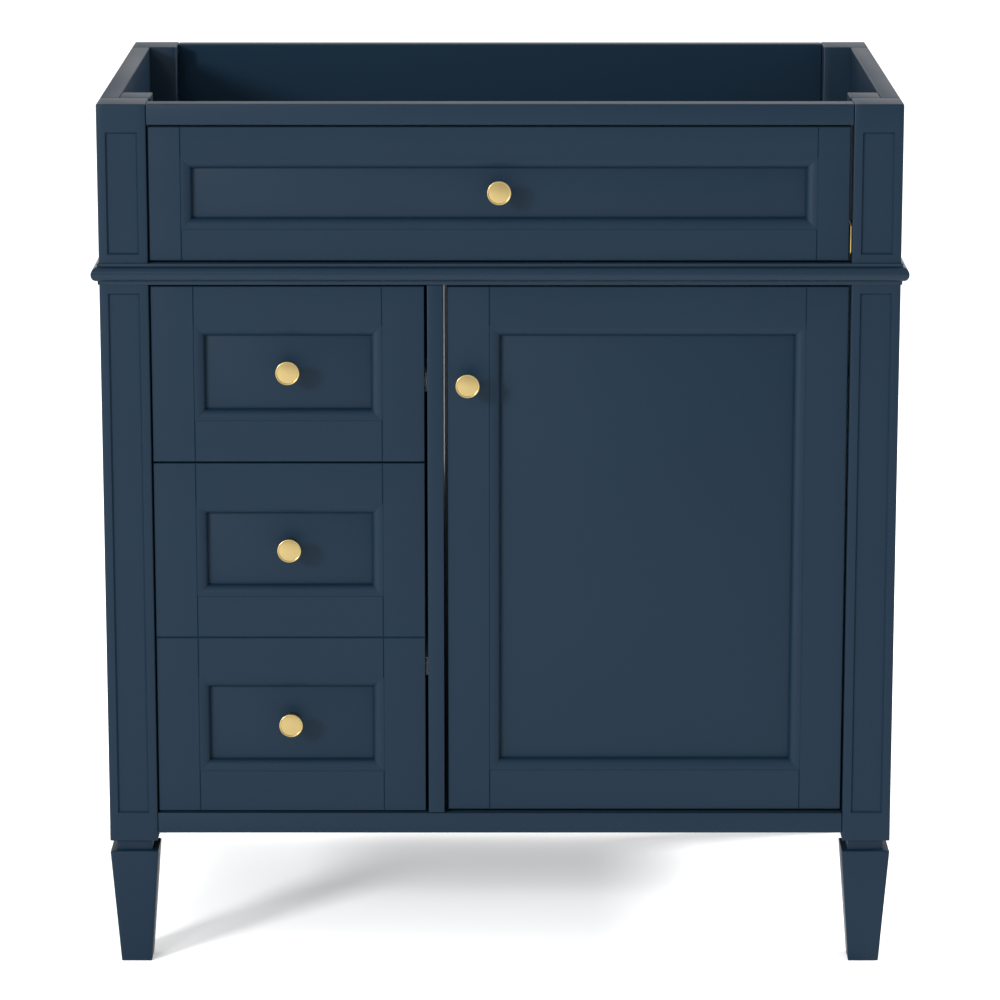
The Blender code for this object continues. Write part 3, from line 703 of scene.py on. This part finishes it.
def opening_of(panel):
    """A panel's opening in its frame (left, right, bottom, top), at the sticking's outer edge."""
    low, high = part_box(panel)
    grow = STICKING_WIDTH - PANEL_TONGUE
    return low.x - grow, high.x + grow, low.z - grow, high.z + grow


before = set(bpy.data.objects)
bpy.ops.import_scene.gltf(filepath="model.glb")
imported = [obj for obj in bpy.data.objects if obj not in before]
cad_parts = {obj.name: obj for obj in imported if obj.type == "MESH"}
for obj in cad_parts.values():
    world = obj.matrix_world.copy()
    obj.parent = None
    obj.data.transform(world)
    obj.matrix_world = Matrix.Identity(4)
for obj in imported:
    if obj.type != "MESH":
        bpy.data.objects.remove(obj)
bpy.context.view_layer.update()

navy = sprayed_paint("satin_navy_paint", 0.42)
frame_navy = sprayed_paint("satin_navy_paint_dull_inside", 0.42, dull_zone=behind_the_front(0.0024))
bay_navy = sprayed_paint("satin_navy_paint_on_partition", 0.36, dull_zone=behind_the_front(0.080))
moulding_navy = sprayed_paint("satin_navy_paint_on_moulding", 0.29, shine=0.165)
top_edge = ("Z", "GREATER_THAN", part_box("tip_out_frame")[1].z - 0.0006)
tip_out_navy = sprayed_paint("satin_navy_paint_dull_top_edge", 0.42, dull_zone=(top_edge,))
# Inside boards: the colour is a shade darker than the outside navy. This is painted shade for the dim inside
# of the carcass, on top of the dull finish.
inner_navy = sprayed_paint("dull_navy_paint_inside_painted_shade", DULL, colour="#0b1a28", dark="#0a1825")
brass = satin_brass()
plate_brass = stamped_brass()
zinc = zinc_plate()
enamel = dipped_enamel()
plastic = moulded_plastic()
birch_deep = birch("lacquered_birch_lengthwise", "y")
birch_wide = birch("lacquered_birch_crosswise", "x")

# Carcass: boards, floor, back, posts and moulding
for name, coat in (("side_panel_left", navy), ("side_panel_right", navy), ("corner_strip_left", frame_navy),
                   ("corner_strip_right", frame_navy), ("top_rail_front", frame_navy),
                   ("waist_rail_front", frame_navy), ("bottom_rail_front", frame_navy), ("mullion", bay_navy),
                   ("back_rail_top", frame_navy), ("partition", bay_navy), ("slide_cleat", inner_navy),
                   ("drawer_bay_top", inner_navy)):
    board(name, "carcass", coat)
back_panel(inner_navy)
floor_panel(inner_navy)
for side in ("left", "right"):
    corner_post("post_front_" + side, frame_navy, RECESSES)
    corner_post("post_rear_" + side, navy)
waist_moulding(moulding_navy)

# Fronts: each frame with its panels, and a knob on every panel
cups = [(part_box(cup)[0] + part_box(cup)[1]) / 2 for cup in ("door_hinge_cup_bottom", "door_hinge_cup_top")]
fields = {"tip_out": ("",), "door": ("",), "drawer_upper": ("",), "drawer_lower": ("_top", "_low")}
for front, coat, cuts in (("tip_out", tip_out_navy, {}),
                          ("door", navy, {"bores": [(cup.x, cup.z) for cup in cups]}),
                          ("drawer_upper", navy, {}),
                          ("drawer_lower", navy, {"split": SPLIT_HEIGHT})):
    openings = [opening_of(front + "_panel" + ending) for ending in fields[front]]
    framed_front(front + "_frame", front, coat, openings, **cuts)
for front, endings in fields.items():
    for ending in endings:
        board(front + "_panel" + ending, front, navy, "field", 0.0006)
for front, endings in fields.items():
    for ending in endings:
        knob = front + "_knob" + ending
        revolved(knob, "turned", front, brass, turned_profile(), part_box(knob)[1].y, -1)

# Drawer boxes on their slides
for drawer in ("drawer_upper", "drawer_lower"):
    for part, coat in (("side_left", birch_deep), ("side_right", birch_deep), ("bottom", birch_deep),
                       ("back", birch_wide)):
        board("%s_%s" % (drawer, part), drawer, coat, ease=0.0015)
    for part, body in (("channel_left", "carcass"), ("channel_right", "carcass"), ("runner_left", drawer),
                       ("runner_right", drawer)):
        metalwork("%s_%s" % (drawer, part), body, enamel, "folded")

# Hinges, tip-out tray and its fittings
for word in ("bottom", "top"):
    cup = "door_hinge_cup_" + word
    revolved(cup, "pressed", "door", zinc, cup_profile(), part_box(cup)[0].y + CUP_DEPTH, 1)
    metalwork("door_hinge_arm_" + word, "carcass", zinc, "pressed", 0.0006)
for side in ("left", "right"):
    metalwork("tip_out_bracket_" + side, "tip_out", zinc, "folded")
    metalwork("tip_out_plate_" + side, "carcass", plate_brass, "stamped")
tray("tip_out_tray", "tip_out", plastic)

# Floor, light and camera
floor_mesh = bpy.data.meshes.new("studio_floor")
floor_mesh.from_pydata([(-40, -40, 0), (40, -40, 0), (40, 60, 0), (-40, 60, 0)], [], [(0, 1, 2, 3)])
floor = bpy.data.objects.new("studio_floor", floor_mesh)
bpy.context.scene.collection.objects.link(floor)
floor_material, _, floor_shader = new_material("pale_floor", Roughness=0.9, Specular_IOR_Level=0.1)
floor_shader.inputs["Base Color"].default_value = (0.93, 0.93, 0.93, 1)
floor_shader.inputs["Emission Color"].default_value = (1, 1, 1, 1)
floor_shader.inputs["Emission Strength"].default_value = 0.3
floor_mesh.materials.append(floor_material)

world = bpy.data.worlds.new("studio")
world.use_nodes = True
world.node_tree.nodes["Background"].inputs["Color"].default_value = (1, 1, 1, 1)
world.node_tree.nodes["Background"].inputs["Strength"].default_value = 1.0
bpy.context.scene.world = world


def soft_box(name, where, aim, size, power):
    """A large square studio light at a point, aimed at another."""
    light = bpy.data.lights.new(name, "AREA")
    light.shape = "SQUARE"
    light.size = size
    light.energy = power
    thing = bpy.data.objects.new(name, light)
    thing.location = where
    direction = Vector(aim) - Vector(where)
    thing.rotation_euler = direction.to_track_quat("-Z", "Y").to_euler()
    bpy.context.scene.collection.objects.link(thing)


soft_box("key_light", (-4.6, -5.2, 2.7), (0, 0, 0.4), 1.1, 455)
soft_box("wide_fill_left", (-4.0, -3.4, 1.4), (0, 0, 0.4), 3.0, 60)
soft_box("front_left_light", (-1.5, -3.4, 2.3), (-0.2, -0.2, 0.6), 0.6, 27)
soft_box("right_hand_light", (3.4, 0.8, 2.0), (0, 0, 0.8), 0.8, 170)

# A long lens in front of the cabinet, above its rim and turned down by 12.4 degrees
camera_data = bpy.data.cameras.new("view_camera")
camera_data.lens = 155.57
camera_data.sensor_width = 36
camera_data.shift_y = -0.08
camera = bpy.data.objects.new("view_camera", camera_data)
camera.location = (0, FRONT_PLANE - 3.975, 1.410)
camera.rotation_euler = (math.radians(90 - 12.367), 0, 0)
bpy.context.scene.collection.objects.link(camera)
bpy.context.scene.camera = camera
bpy.context.scene.view_settings.view_transform = "Standard"
